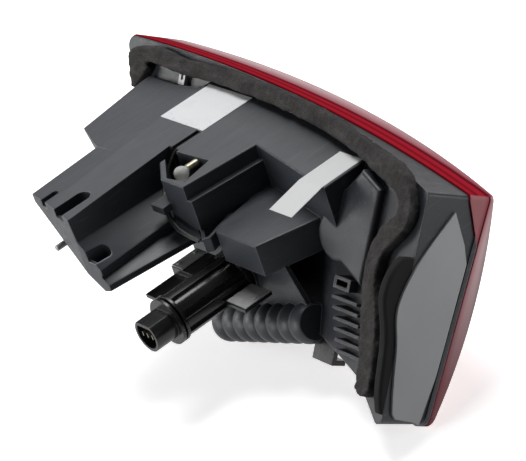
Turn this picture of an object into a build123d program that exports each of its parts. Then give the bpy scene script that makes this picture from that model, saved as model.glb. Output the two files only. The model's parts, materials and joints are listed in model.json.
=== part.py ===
import math
import os

from build123d import *

os.makedirs("parts", exist_ok=True)

# Rear lamp, seen on its body side. The origin is on the fixing stud's axis, at the outer face of its nut.
# x runs along the lamp to its tall inboard end, y is the way the lens faces, z is up.
# The lens face leans back, so its outline is drawn on a raked face with t up the rake
# and n out of it towards the lens.

# General
wall = 3.0
edge_r = 1.2
rake = 35.0
face_y = 169.0
face_z = 40.0
far = 400.0

# Lens outline on the raked face, as x and t
tip_x = -139.0
tip_t = 17.0
crown_x = 86.0
crown_t = 10.0
end_x = 305.0
end_top = -21.0
end_low = -196.0
low_in = (258.0, -168.0)
low_mid = (160.0, -146.0)
low_out = (-95.0, -52.0)
corner_r = 7.0
end_corner_r = 3.0

# Seat of the gasket, flat outboard and curved in plan inboard, and the flat weld face of the lens
seat_r = 1050.0
seat_apex_x = -10.0
weld_n = 11.0
weld_t = -20.0
weld_lean = 4.9
rim_over = 1.5
rim_thick = 4.0
tray_deep = 110.0
mould_n = 40.0

# Lens bulge: one radius in plan, one in height
lens_wall = 3.0
lens_plan_r = 1300.0
lens_apex_x = -40.0
lens_apex_n = 66.0
lens_side_r = 380.0
lens_side_t = -75.0
lens_half = 190.0

# Skirt of the lens over the top of the rim: its lower edge at n, and as n and t on the end
skirt_n = 2.0
skirt_r = 5000.0
skirt_front = (-30.0, 21.0)
skirt_back = (20.0, -81.0)

# Deck and wing, outline in x and y at deck height
deck_z = 40.0
deck_floor_z = -10.0
deck_skin = 9.0
wing_back = (-91.0, 150.0)
wing_front = (-77.0, 78.0)
wing_step = (-34.0, 61.0)
plank_right_x = 33.0
deck_nose_y = 86.0
hole_left_x = 46.0
nose_front_y = 50.0
nose_left_x = 68.0
nose_step = 16.0
nose_right_x = 96.0
pocket_x = 104.0
pocket_y = 118.0
deck_end_x = 208.0
deck_end_y = 98.0
deck_back_y = 190.0
flank_drop = 5.0
ridge_back = (-13.0, 114.0)
ridge_front = (7.0, -13.0)
dip_y = 155.0
dip_z = 37.5
dip_slope = 42.0

# Box under the pocket
box_top_z = 5.0
box_low_z = -21.5
box_front_y = 52.0
box_left_x = 118.0
box_right_x = 166.0
box_back_x = 187.0
box_back_y = 112.0
box_deep_y = 160.0
ledge_z = 28.0
ledge_w = 5.0

# Arm: the same corners at the tip and at the root, as x and z, from the left flank
# over the ridge and the plank, down the channel wall, out along the lower flange, over
# its bead to the bottom edge and back under
arm_tip_y = -34.0
arm_root_y = 88.0
arm_tip = [(-25, 37), (8, 40), (43, 40), (46, 21), (66, 1), (66, -3)]
arm_tip_low = [(63.5, -6), (69, -11), (69, -16), (60, -19), (-25, 30)]
arm_root = [(-36, 37), (-9, 40), (33, 40), (33, 11), (60, 1), (60, -3)]
arm_root_low = [(58, -6), (86, -12), (86, -17), (74, -23), (-36, 30)]
arm_end_slope = 0.194
arm_end_low = 0.02
arm_end_x = 43.0
arm_end_y = -23.0
notch_x = 24.0
notch_w = 15.0
notch_y = 4.0
flank_notch_x = -5.0
flank_notch_w = 8.0
flank_notch_y = -2.0
low_notch_x = 56.0
low_notch_w = 9.0
low_notch_y = -9.5
slot_floor_z = 18.0
low_slot_floor_z = -10.0
notch_lift = 15.0

# Stud and its boss
stud_r = 2.5
stud_core_r = 2.2
stud_free = 20.0
stud_bury = 14.0
boss_r = 9.0
boss_back_y = 64.0
boss_web_z = 26.0
nut_r = 4.6
nut_t = 4.0
washer_r = 6.5
washer_t = 1.2

# Gasket, its centre line as x and t along the top and down the inboard end
gasket_t = 9.5
gasket_run = [(-95, -6), (-104, 3), (-90, 8), (-62, 6.5), (-8, 7), (52, 6.2), (106, 4), (170, -2), (214, -9)]
gasket_turn = [(250, -15), (281, -25), (289, -39), (279, -53), (262, -69), (257, -86), (259, -101)]
gasket_foot = [(267, -118), (274, -138), (278, -153), (279, -169)]
gasket_end = 0.55
gasket_run_w = 13.0
gasket_turn_w = 18.0
gasket_foot_w = 22.0

# End wall: trim panel as n and t, and the rubber lip that runs along its front edge
panel_t = 2.0
panel_front = [(-20, -33), (-36, -56), (-52, -87), (-56, -107), (-51, -127), (-47, -150), (-41, -181)]
panel_low = [(-37, -185), (-20, -187), (-13, -189)]
panel_back = [(-6, -153), (-4, -131), (1, -70), (-5, -56)]
lip_front = [(-58, -69), (-67, -82), (-69, -98), (-64, -114), (-59, -132), (-57, -150), (-50, -182)]
lip_back_n = -30.0
lip_in_x = 297.0
lip_r = 2.5

# Apron beside the gasket, edge as x and t, and its front and back depth
apron_edge = [(222, -22), (209, -38), (194, -57), (187, -72), (193, -85), (217, -92)]
apron_low = (244, -104)
apron_top = (245, -32)
apron_n = -38.0
apron_deep = 38.0
apron_r = 3.0

# Gussets and clip loop below the apron
gusset_count = 6
gusset_x = 216.0
gusset_len = 28.0
gusset_top = -118.0
gusset_pitch = 7.4
gusset_step = 3.0
gusset_t = 2.2
gusset_n = -37.0
gusset_deep = 20.0
loop_x = 224.0
loop_t = -107.0
loop_w = 18.0
loop_h = 9.0

# Pocket hole with the side bulb, and the slit of the leads
hole_points = [(45, 83), (85, 86), (91, 56), (72, 53), (45, 72)]
hole_floor_z = 2.0
side_x = 68.5
side_y = 68.3
side_z = 34.0
side_r = 6.0
side_neck_r = 3.5
side_cap_r = 4.0
side_cap_len = 17.0
slit_x = 40.0
slit_w = 7.0
slit_y = 112.0
slit_deep = 6.0

# Trough rib, lug and tab beside the box
trough = [(83, 86), (102, 86), (116, 47), (112, 42), (97, 52)]
trough_wall = 2.5
trough_z = -10.0
trough_top = 2.0
lug_y = 74.0
lug_t = 3.0
lug_w = 8.0
lug_top = 16.0
tab_x = 65.0
tab_y = 51.0
tab_z = 14.0
tab_w = 15.0
tab_len = 21.0
tab_t = 6.0

# Bulb carrier
car_x = 108.0
car_z = -43.0
car_r = 18.0
car_root_r = 15.0
flutes = 8
flute_w = 7.5
car_back_y = 98.0
flange_y = -8.0
flange_r = 19.5
flange_t = 2.5
flange_gap = 2.0
tube_r = 13.5
tube_flat = 10.5
tube_bore = 11.0
tube_len = 20.0
tube_floor = 5.0
sleeve_r = 22.0
sleeve_y = 64.0
sleeve_back_y = 122.0
fit_gap = 0.2
seal_t = 3.0
seal_r = 20.5
pin_w = 4.0
pin_t = 0.8
pin_len = 14.0
pin_pitch = 6.0
pin_count = 3

# Wings of the carrier, contact strips and rivets
wing_y = 34.0
wing_len = 27.0
wing_t = 3.0
left_wing_x = 66.0
left_wing_z = -31.0
right_wing_x = 152.0
right_wing_z = -45.0
metal_t = 0.8
metal_w = 25.0
metal_left = 14.0
metal_right = 23.0
rivet_r = 2.0
rivet_h = 1.2
rivet_in = 4.0
guard_x = 70.0
guard_y = 3.0
guard_drop = 5.0

# Ribbed wiring gallery under the carrier
gal_start = (62.0, 66.0, -105.0)
gal_end = (190.0, 66.0, -65.0)
gal_r = 13.5
gal_rib = 3.0
gal_ribs = 8
plug_t = 6.0
gal_web_t = 4.0
web_left_x = 50.0
web_low_z = -44.0

# Reflector with its bowls, as x, t, rim radius and depth, and the bulbs
plate_t = 1.6
stop_bowl = (222.0, -88.0, 50.0, 14.0)
turn_bowl = (106.0, -44.0, 38.0, 9.0)
reverse_bowl = (4.0, -31.0, 32.0, 5.0)
bowl_t = 1.5
bowl_floor_r = 14.0
bowl_flare = 0.17
bulb_r = 9.0
neck_r = 6.0
neck_len = 8.0
cap_r = 7.5
cap_len = 12.0
socket_r = 11.0
socket_len = 6.0

# Labels
label_t = 0.3
label_x = 15.0
label_y = 139.0
label_w = 56.0
label_len = 52.0
strip_x = 193.0
strip_w = 26.0
strip_back_y = 139.0
strip_free = 33.0
strip_droop = 11.0

# Leads, each a wire through these points
lead_r = 1.2
lead_x = 38.5
lead_z = 36.0
lead_in_y = 116.0
lead_out_y = 86.0
lead_shift = (2.6, 0.0, 2.0)
lead_path = [(36.5, 78, 27), (37, 69, 18.5), (54, 52, 9), (77, 42, 3), (92, 42, -1), (102, 44.5, -4)]

# Clip foot under the inboard end and the small clip by the wing
foot_left_x = 184.0
foot_right_x = 207.0
foot_n = -15.0
foot_t = 4.0
foot_drop = 17.0
foot_toe = 13.0
clip_x = -49.0
clip_top = -1.5
clip_w = 8.0
clip_h = 8.0
clip_out = 4.0

face_dir = (0, -math.cos(math.radians(rake)), math.sin(math.radians(rake)))
up_dir = (0, math.sin(math.radians(rake)), math.cos(math.radians(rake)))
face = Plane(origin=(0, face_y, face_z), x_dir=(1, 0, 0), z_dir=face_dir)
plan = Plane(origin=(0, face_y, face_z), x_dir=(1, 0, 0), z_dir=up_dir)


def at_n(n):
    """The raked face moved out to depth n, facing the body."""
    return face.offset(-n)


def end_plane(x):
    """Plane across the lamp at x, drawn in n and t."""
    return Plane(origin=(x, face_y, face_z), x_dir=(0, -face_dir[1], -face_dir[2]), z_dir=(1, 0, 0))


def cross(y):
    """Plane across the arm at y, drawn in x and z, facing the body."""
    return Plane(origin=(0, y, 0), x_dir=(1, 0, 0), z_dir=(0, -1, 0))


def curve_n(x, radius):
    """How far a curve of a radius falls away from its apex at x."""
    reach = max(x - seat_apex_x, 0)
    return math.sqrt(radius**2 - reach**2) - radius


def seat_n(x):
    """Depth of the gasket's seat at x."""
    return curve_n(x, seat_r)


def gasket_edge(points, widths, side):
    """Points on one edge of a strip along a centre line."""
    edge = []
    for here, point in enumerate(points):
        before = Vector(*points[max(here - 1, 0)])
        after = Vector(*points[min(here + 1, len(points) - 1)])
        along = (after - before).normalized()
        half = side * widths[here] / 2
        edge.append((point[0] - along.Y * half, point[1] + along.X * half))
    return edge


def lens_outline(plane, grow):
    """The lamp's outline, grown or shrunk, drawn on a raked plane."""
    with BuildSketch(plane) as shape:
        with BuildLine():
            ThreePointArc((tip_x, tip_t), (crown_x, crown_t), (end_x, end_top))
            Polyline((end_x, end_top), (end_x, end_low), low_in, low_mid, low_out, (tip_x, tip_t))
        make_face()
        fillet(shape.vertices().sort_by(Axis.X)[:-2], corner_r)
        fillet(shape.vertices().group_by(Axis.X)[-1].sort_by(Axis.Y)[0], corner_r)
        fillet(shape.vertices().group_by(Axis.X)[-1].sort_by(Axis.Y)[-1], end_corner_r)
        if grow != 0:
            offset(amount=grow)
    return shape.sketch


def curve_zone(lift, depth, radius):
    """All the space between a lifted curve in plan and a flat depth."""
    middle = (seat_apex_x + far) / 2
    apex = (seat_apex_x, lift)
    right = (far, lift + curve_n(far, radius))
    with BuildPart() as zone:
        with BuildSketch(plan.offset(-far)):
            with BuildLine():
                ThreePointArc(apex, (middle, lift + curve_n(middle, radius)), right)
                Polyline(right, (far, depth), (-far, depth), (-far, lift), apex)
            make_face()
        extrude(amount=2 * far)
    return zone.part


def seat_zone(lift, depth):
    """All the space between the lifted seat and a flat depth."""
    return curve_zone(lift, depth, seat_r)


def weld_plane(lift):
    """The leaning weld face of tray and lens, lifted towards the lens."""
    lean = math.radians(rake + weld_lean)
    out = Vector(0, math.cos(lean), -math.sin(lean))
    hub = face.from_local_coords((0, weld_t, -weld_n))
    return Plane(origin=hub + out * lift, x_dir=(1, 0, 0), z_dir=-out)


def weld_n_at(t):
    """Depth of the weld face at t."""
    return weld_n + (t - weld_t) * math.tan(math.radians(weld_lean))


def weld_zone(lift):
    """All the space on the body side of the lifted weld face."""
    with BuildPart() as zone:
        with BuildSketch(weld_plane(lift)):
            Rectangle(4 * far, 4 * far)
        extrude(amount=far)
    return zone.part


def prism(grow, depth):
    """The outline, grown or shrunk, drawn along the moulding direction."""
    with BuildPart() as column:
        extrude(lens_outline(at_n(mould_n), grow), amount=depth)
    return column.part


def lens_body(grow, skin):
    """Solid under the lens surface, from the weld face out, drawn in by a skin."""
    profile = end_plane(lens_apex_x)
    hub = profile.from_local_coords((lens_apex_n - lens_plan_r, 0, 0))
    out_n = lens_apex_n - skin
    drop = lens_side_r - math.sqrt(lens_side_r**2 - lens_half**2)
    low = (out_n - drop, lens_side_t - lens_half)
    high = (out_n - drop, lens_side_t + lens_half)
    with BuildPart() as body:
        add(prism(grow, -far))
        add(prism(grow, mould_n + tray_deep))
        with BuildSketch(profile):
            with BuildLine():
                ThreePointArc(low, (out_n, lens_side_t), high)
                Polyline(high, (-far, high[1]), (-far, low[1]), low)
            make_face()
        revolve(axis=Axis(hub, up_dir), mode=Mode.INTERSECT)
        add(weld_zone(0), mode=Mode.SUBTRACT)
    return body.part


def lens_skirt():
    """The lens's thin skirt over the top of the rim, up to the weld face."""
    with BuildPart() as skirt:
        add(prism(rim_over, mould_n + tray_deep))
        add(prism(0, mould_n + tray_deep), mode=Mode.SUBTRACT)
        add(curve_zone(skirt_n, far, skirt_r), mode=Mode.INTERSECT)
        add(weld_zone(0), mode=Mode.INTERSECT)
        with BuildSketch(end_plane(-far)):
            Polygon(skirt_front, skirt_back, (skirt_back[0], far), (skirt_front[0], far), align=None)
        extrude(amount=2 * far, mode=Mode.INTERSECT)
    return skirt.part


def half_space(points, low_z):
    """A tall block over a plan outline, used to trim."""
    with BuildPart() as block:
        with BuildSketch(Plane.XY.offset(low_z)):
            Polygon(*points, align=None)
        extrude(amount=2 * far)
    return block.part


def arm_inner(points, low_points):
    """Arm section drawn in by one wall and left open below."""
    flank, ridge, plank, heel, lip, bead = points
    under, flank_low = low_points[3:]
    return [
        (flank[0] + wall, flank[1] - wall),
        (ridge[0], ridge[1] - wall),
        (plank[0] - wall, plank[1] - wall),
        (heel[0] - wall, heel[1] - wall / 2),
        (lip[0] - 2 * wall, lip[1] - wall / 2),
        (bead[0] - 2 * wall, under[1] - 3 * wall),
        (flank_low[0] + wall, flank_low[1] - 3 * wall),
    ]


def arm_cut(shift):
    """Plan outline of what lies beyond the arm's slanted end."""
    return [
        (-far, arm_end_y + shift + arm_end_slope * (far + arm_end_x)),
        (-far, -far),
        (far, -far),
        (far, arm_end_y + shift - arm_end_low * (far - arm_end_x)),
        (arm_end_x, arm_end_y + shift),
    ]


def arm_slots(lift, grow, trim):
    """The three slots of the arm's end, as columns on lifted floors, grown and cut off at the end."""
    slots = [
        (notch_x, notch_y, notch_w, slot_floor_z),
        (flank_notch_x, flank_notch_y, flank_notch_w, slot_floor_z),
        (low_notch_x, low_notch_y, low_notch_w, low_slot_floor_z),
    ]
    with BuildPart() as columns:
        for x, y, width, floor_z in slots:
            with BuildSketch(Plane.XY.offset(floor_z + lift - grow)):
                with Locations((x, y)):
                    Circle(width / 2 + grow)
                with Locations((x, y + arm_tip_y)):
                    Rectangle(width + 2 * grow, -2 * arm_tip_y)
            extrude(amount=deck_z)
        if trim > 0:
            add(half_space(arm_cut(trim), -far), mode=Mode.SUBTRACT)
    return columns.part


ridge_dir = (Vector(*ridge_front) - Vector(*ridge_back)).normalized()
ridge_left = Vector(ridge_dir.Y, -ridge_dir.X, 0)
flank_sin = math.sin(math.radians(flank_drop))
flank_cos = math.cos(math.radians(flank_drop))
flank_plane = Plane(
    origin=(ridge_back[0], ridge_back[1], deck_z),
    x_dir=tuple(ridge_dir),
    z_dir=(ridge_left.X * flank_sin, ridge_left.Y * flank_sin, flank_cos),
)
dip_dir = (0, math.sin(math.radians(dip_slope)), math.cos(math.radians(dip_slope)))
dip_plane = Plane(origin=(ridge_back[0] - wall, dip_y, dip_z), x_dir=(1, 0, 0), z_dir=dip_dir)
deck_points = [
    (wing_back[0], deck_back_y),
    wing_back,
    wing_front,
    wing_step,
    (plank_right_x, wing_step[1]),
    (plank_right_x, deck_nose_y),
    (hole_left_x, deck_nose_y),
    (hole_left_x, nose_front_y + nose_step),
    (nose_left_x, nose_front_y),
    (nose_right_x, nose_front_y),
    (pocket_x, pocket_y),
    (deck_end_x, deck_end_y),
    (deck_end_x, deck_back_y),
]
box_points = [
    (nose_right_x, box_deep_y),
    (box_left_x - 2 * wall, box_front_y + 3 * wall),
    (box_left_x, box_front_y),
    (box_right_x, box_front_y),
    (box_back_x, box_back_y),
    (box_back_x, box_deep_y),
]
boss_y = nut_t + washer_t
gal_vec = Vector(*gal_end) - Vector(*gal_start)
gal_len = gal_vec.length
gal_plane = Plane(origin=gal_start, x_dir=tuple(gal_vec), z_dir=(0, -1, 0))
gal_axis = Axis(gal_start, tuple(gal_vec))

# Deck and wing ahead of the seat
with BuildPart() as deck_block:
    with BuildSketch(Plane.XY.offset(deck_floor_z)):
        Polygon(*deck_points, align=None)
    extrude(amount=deck_z - deck_floor_z)
    fillet(deck_block.faces().sort_by(Axis.Z)[-1].edges(), edge_r)
    with BuildSketch(flank_plane):
        with Locations((0, -far / 2)):
            Rectangle(2 * far, far)
    extrude(amount=deck_skin, mode=Mode.SUBTRACT)
    with BuildSketch(dip_plane):
        Rectangle(far, far, align=(Align.MAX, Align.MIN))
    extrude(amount=2 * deck_skin, mode=Mode.SUBTRACT)
    add(prism(0, far), mode=Mode.INTERSECT)

# Box under the pocket with its rounded rim
with BuildPart() as box_block:
    with BuildSketch(Plane.XY.offset(box_low_z)):
        Polygon(*box_points, align=None)
    extrude(amount=box_top_z - box_low_z)
    fillet(box_block.faces().sort_by(Axis.Z)[-1].edges(), edge_r)

# Arm with its channel, ruled between tip and root, and its slanted end
with BuildPart() as arm_block:
    with BuildSketch(cross(arm_tip_y)):
        Polygon(*(arm_tip + arm_tip_low), align=None)
    with BuildSketch(cross(arm_root_y)):
        Polygon(*(arm_root + arm_root_low), align=None)
    loft(ruled=True)
    add(half_space(arm_cut(0), -far), mode=Mode.SUBTRACT)

# Hollow of the arm, open below
with BuildPart() as arm_hollow:
    with BuildSketch(cross(arm_tip_y)):
        Polygon(*arm_inner(arm_tip, arm_tip_low), align=None)
    with BuildSketch(cross(wing_step[1] - wall)):
        Polygon(*arm_inner(arm_root, arm_root_low), align=None)
    loft(ruled=True)
    add(half_space(arm_cut(wall), -far), mode=Mode.SUBTRACT)
    add(arm_slots(0, wall, 0), mode=Mode.SUBTRACT)

# Apron with its rounded S edge
with BuildPart() as apron_block:
    with BuildSketch(at_n(apron_n)):
        with BuildLine():
            Spline(*apron_edge)
            Polyline(apron_edge[-1], apron_low, apron_top, apron_edge[0])
        make_face()
    extrude(amount=-apron_deep)
    fillet(apron_block.edges().group_by(Axis((0, 0, 0), face_dir))[-1], apron_r)

# Space inside the tray behind the lens
with BuildPart() as tray_hollow:
    add(prism(-wall, tray_deep))
    add(seat_zone(wall, far), mode=Mode.INTERSECT)

# Space inside deck and box, opening into the tray
with BuildPart() as deck_hollow:
    with BuildSketch(Plane.XY.offset(deck_floor_z + wall)):
        Polygon(
            (wing_back[0] + 2 * wall, deck_back_y),
            (wing_back[0] + 2 * wall, wing_back[1]),
            (wing_front[0] + 3 * wall, wing_front[1] + wall),
            (plank_right_x - wall, wing_front[1] + wall),
            (plank_right_x - wall, deck_nose_y + 4 * wall),
            (nose_right_x, deck_nose_y + 4 * wall),
            (pocket_x, pocket_y + 2 * wall),
            (deck_end_x - wall, deck_end_y + 2 * wall),
            (deck_end_x - wall, deck_back_y),
            align=None,
        )
    extrude(amount=deck_z - deck_floor_z - wall - deck_skin)
    with BuildSketch(dip_plane.offset(-2 * wall)):
        with Locations((wall, 0)):
            Rectangle(far, far, align=(Align.MAX, Align.MIN))
    extrude(amount=2 * deck_skin, mode=Mode.SUBTRACT)
    with BuildSketch(Plane.XY.offset(box_low_z + wall)):
        Polygon(*box_points, align=None)
        offset(amount=-wall)
    extrude(amount=box_top_z - box_low_z - 2 * wall)
    add(prism(-wall, far), mode=Mode.INTERSECT)
    add(seat_zone(wall, -far), mode=Mode.INTERSECT)

# All that stands ahead of the seat: deck, arm, sleeve, gallery and ribs
with BuildPart() as front_block:
    add(arm_block.part)
    add(arm_hollow.part, mode=Mode.SUBTRACT)
    add(deck_block.part)
    add(box_block.part)
    add(apron_block.part)
    with BuildSketch(Plane.XY.offset(box_top_z - wall)):
        Polygon(
            (nose_right_x, nose_front_y),
            (nose_right_x + ledge_w, nose_front_y),
            (pocket_x + ledge_w, pocket_y),
            (pocket_x, pocket_y),
            align=None,
        )
    extrude(amount=ledge_z - box_top_z + wall)

    # Trough rib, lug in the channel and tab
    with BuildSketch(Plane.XY.offset(trough_z)):
        Polygon(*trough, align=None)
        with BuildSketch(mode=Mode.PRIVATE) as trough_in:
            Polygon(*trough, align=None)
            offset(amount=-trough_wall)
        add(trough_in.sketch, mode=Mode.SUBTRACT)
    extrude(amount=trough_top - trough_z)
    with BuildSketch(Plane.XY.offset(box_top_z)):
        with Locations((plank_right_x, lug_y)):
            Rectangle(lug_w, lug_t, align=(Align.MIN, Align.CENTER))
    extrude(amount=lug_top - box_top_z)
    with BuildSketch(Plane.XY.offset(tab_z)):
        with Locations((tab_x, tab_y)):
            Rectangle(tab_w, tab_len)
    extrude(amount=tab_t)

    # Sleeve of the carrier, the ribbed gallery under it and the web that joins them to deck and box
    with BuildSketch(cross(sleeve_y)):
        with Locations((car_x, car_z)):
            Circle(sleeve_r)
    extrude(amount=sleeve_y - sleeve_back_y)
    with BuildSketch(gal_plane):
        with BuildLine():
            for rib in range(gal_ribs):
                here = gal_len * rib / gal_ribs
                there = gal_len * (rib + 1) / gal_ribs
                ThreePointArc((here, gal_r), ((here + there) / 2, gal_r + gal_rib), (there, gal_r))
            Polyline((gal_len, gal_r), (gal_len, 0), (0, 0), (0, gal_r))
        make_face()
    revolve(axis=gal_axis)
    with BuildSketch(cross(sleeve_y + wall)):
        Polygon(
            (web_left_x, deck_floor_z + wall),
            (box_left_x, deck_floor_z + wall),
            (box_right_x, deck_floor_z + wall),
            gal_end[::2],
            gal_start[::2],
            (web_left_x, web_low_z),
            align=None,
        )
    extrude(amount=-gal_web_t)

    # Boss of the fixing stud and the web that carries it
    with BuildSketch(cross(boss_y)):
        Circle(boss_r)
    extrude(amount=boss_y - boss_back_y)
    with BuildSketch(cross(boss_y + wall)):
        with Locations((0, boss_web_z / 2)):
            Rectangle(wall, boss_web_z)
    extrude(amount=boss_y + wall - boss_back_y)

    # Gussets and clip loop on the lower wall
    with BuildSketch(at_n(gusset_n)):
        for rib in range(gusset_count):
            with Locations((gusset_x + gusset_len / 2 + rib * gusset_step, gusset_top - rib * gusset_pitch)):
                Rectangle(gusset_len, gusset_t)
        with Locations((loop_x, loop_t)):
            Rectangle(loop_w, loop_h)
            Rectangle(loop_w - 2 * wall, loop_h - 2 * gusset_t, mode=Mode.SUBTRACT)
    extrude(amount=-gusset_deep)

    add(seat_zone(wall, -far), mode=Mode.INTERSECT)

# Rear housing: tray and all that stands on it as one moulding
with BuildPart() as rear_housing:
    add(prism(rim_over, tray_deep))
    add(weld_zone(-rim_thick), mode=Mode.SUBTRACT)
    add(prism(0, tray_deep))
    add(weld_zone(0), mode=Mode.INTERSECT)
    add(seat_zone(0, far), mode=Mode.INTERSECT)
    add(lens_skirt(), mode=Mode.SUBTRACT)
    add(tray_hollow.part, mode=Mode.SUBTRACT)
    add(front_block.part)

    add(deck_hollow.part, mode=Mode.SUBTRACT)

    # Bores of carrier, gallery and stud
    with BuildSketch(cross(sleeve_y)):
        with Locations((car_x, car_z)):
            Circle(car_r + fit_gap)
    extrude(amount=sleeve_y - sleeve_back_y, mode=Mode.SUBTRACT)
    with BuildSketch(Plane(origin=gal_start, z_dir=tuple(gal_vec))):
        Circle(gal_r - wall)
    extrude(amount=gal_len - 2 * gal_r, mode=Mode.SUBTRACT)
    with BuildSketch(cross(boss_y)):
        Circle(stud_core_r)
    extrude(amount=-stud_bury, mode=Mode.SUBTRACT)

    # Pockets behind the arm's end and their shallow mouths through it
    add(arm_slots(0, 0, wall), mode=Mode.SUBTRACT)
    add(arm_slots(notch_lift, 0, 0), mode=Mode.SUBTRACT)

    # Pocket of the side bulb, its bore and the slit of the leads
    with BuildSketch(Plane.XY.offset(hole_floor_z)):
        Polygon(*hole_points, align=None)
    extrude(amount=deck_z, mode=Mode.SUBTRACT)
    with BuildSketch(cross(side_y + side_r + side_cap_len)):
        with Locations((side_x, side_z)):
            Circle(side_cap_r)
    extrude(amount=side_cap_len, mode=Mode.SUBTRACT)
    with BuildSketch(Plane.XY.offset(deck_z - slit_deep)):
        with Locations((slit_x, slit_y)):
            Rectangle(slit_w, slit_y - deck_nose_y, align=(Align.CENTER, Align.MAX))
    extrude(amount=slit_deep, mode=Mode.SUBTRACT)
    with BuildSketch(cross(lead_in_y)):
        with Locations((lead_x, lead_z), (lead_x + lead_shift[0], lead_z + lead_shift[2])):
            Circle(lead_r)
    extrude(amount=lead_in_y - slit_y, mode=Mode.SUBTRACT)
rear_housing.part.label = "rear_housing"
export_step(rear_housing.part, "parts/rear_housing.step")

# Red lens, a shell open towards the housing
lens_inside = lens_body(rim_over - lens_wall, lens_wall)
with BuildPart() as outer_lens:
    add(lens_body(rim_over, 0))
    add(lens_inside, mode=Mode.SUBTRACT)
    add(lens_skirt())
outer_lens.part.label = "outer_lens"
export_step(outer_lens.part, "parts/outer_lens.step")

gasket_line = gasket_run + gasket_turn + gasket_foot
gasket_widths = [gasket_run_w] * len(gasket_run) + [gasket_turn_w] * len(gasket_turn)
gasket_widths += [gasket_foot_w] * len(gasket_foot)
gasket_upper = gasket_edge(gasket_line, gasket_widths, 1)
gasket_lower = gasket_edge(gasket_line, gasket_widths, -1)

# Foam gasket along the top and down the inboard end, lying on the seat
with BuildPart() as foam_gasket:
    with BuildSketch(face):
        with BuildLine():
            Spline(*gasket_upper)
            Spline(*gasket_lower)
            RadiusArc(gasket_upper[0], gasket_lower[0], -gasket_run_w)
            RadiusArc(gasket_upper[-1], gasket_lower[-1], gasket_foot_w * gasket_end)
        make_face()
    extrude(amount=tray_deep)
    add(seat_zone(0, -far), mode=Mode.INTERSECT)
    add(seat_zone(-gasket_t, far), mode=Mode.INTERSECT)
foam_gasket.part.label = "foam_gasket"
export_step(foam_gasket.part, "parts/foam_gasket.step")

# Grey trim panel on the end wall
with BuildPart() as end_trim_panel:
    with BuildSketch(end_plane(end_x)):
        with BuildLine():
            Spline(*panel_front)
            Polyline(panel_front[-1], *panel_low, *panel_back, panel_front[0])
        make_face()
    extrude(amount=panel_t)
end_trim_panel.part.label = "end_trim_panel"
export_step(end_trim_panel.part, "parts/end_trim_panel.step")

# Rubber lip on the seat, along the front edge of the panel
with BuildPart() as groove_lip:
    with BuildSketch(end_plane(lip_in_x)):
        with BuildLine():
            Spline(*lip_front)
            Polyline(
                lip_front[-1],
                (lip_back_n, lip_front[-1][1]),
                (lip_back_n, lip_front[0][1]),
                lip_front[0],
            )
        make_face()
    extrude(amount=end_x - lip_in_x)
    fillet(groove_lip.edges().filter_by(GeomType.BSPLINE), lip_r)
    add(seat_zone(0, -far), mode=Mode.INTERSECT)
groove_lip.part.label = "groove_lip"
export_step(groove_lip.part, "parts/groove_lip.step")


def bowl_floor(bowl):
    """Depth n of a bowl's floor on its lens side."""
    return weld_n_at(bowl[1]) - bowl[3]


def bowl_solid(bowl, out):
    """A bowl's cone from the plate's face to its floor, grown by its skin."""
    with BuildPart() as cone:
        with BuildSketch(at_n(weld_n_at(bowl[1]) + bowl[2] * bowl_flare)):
            with Locations(bowl[:2]):
                Circle(bowl[2] + out)
        with BuildSketch(at_n(bowl_floor(bowl) - out)):
            with Locations(bowl[:2]):
                Circle(bowl_floor_r + out)
        loft()
    return cone.part


def bulb_socket(bowl):
    """Socket ring behind a bowl's floor."""
    with BuildPart() as ring:
        with BuildSketch(at_n(bowl_floor(bowl) - bowl_t)):
            with Locations(bowl[:2]):
                Circle(socket_r)
                Circle(cap_r, mode=Mode.SUBTRACT)
        extrude(amount=socket_len)
    return ring.part


def bulb_cap(bowl):
    """Metal cap of a bulb, held in its socket."""
    with BuildPart() as cap:
        with BuildSketch(at_n(bowl_floor(bowl) - bowl_t - socket_len)):
            with Locations(bowl[:2]):
                Circle(cap_r)
        extrude(amount=-cap_len)
    return cap.part


def bulb_glass(bowl):
    """Glass of a bulb on its cap."""
    base = at_n(bowl_floor(bowl) - bowl_t - socket_len + cap_len)
    hub = base.from_local_coords((bowl[0], bowl[1], 0))
    with BuildPart() as glass:
        with BuildSketch(Plane(origin=hub, x_dir=(1, 0, 0), z_dir=up_dir)):
            with BuildLine():
                rise = neck_len + bulb_r
                side = bulb_r * math.sin(math.radians(45))
                Polyline((0, rise), (0, 0), (neck_r, 0), (neck_r, neck_len / 2))
                Line((neck_r, neck_len / 2), (side, rise - side))
                ThreePointArc((side, rise - side), (bulb_r, rise), (0, rise + bulb_r))
                Line((0, rise + bulb_r), (0, rise))
            make_face()
        revolve(axis=Axis(hub, (0, -face_dir[1], -face_dir[2])))
    return glass.part


# Reflector with three bowls, lying in the tray under the lens
with BuildPart() as reflector:
    add(prism(-wall, tray_deep))
    add(weld_zone(-plate_t), mode=Mode.SUBTRACT)
    for bowl in (stop_bowl, turn_bowl, reverse_bowl):
        add(bowl_solid(bowl, bowl_t))
    add(weld_zone(0), mode=Mode.INTERSECT)
    for bowl in (stop_bowl, turn_bowl, reverse_bowl):
        add(bowl_solid(bowl, 0), mode=Mode.SUBTRACT)
        with BuildSketch(at_n(bowl_floor(bowl))):
            with Locations(bowl[:2]):
                Circle(cap_r + fit_gap)
        extrude(amount=2 * bowl_t, mode=Mode.SUBTRACT)
reflector.part.label = "reflector"
export_step(reflector.part, "parts/reflector.step")

# Sockets and bulbs of the three lamps
with BuildPart() as stop_socket:
    add(bulb_socket(stop_bowl))
stop_socket.part.label = "stop_socket"
export_step(stop_socket.part, "parts/stop_socket.step")

with BuildPart() as stop_bulb_cap:
    add(bulb_cap(stop_bowl))
stop_bulb_cap.part.label = "stop_bulb_cap"
export_step(stop_bulb_cap.part, "parts/stop_bulb_cap.step")

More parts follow.
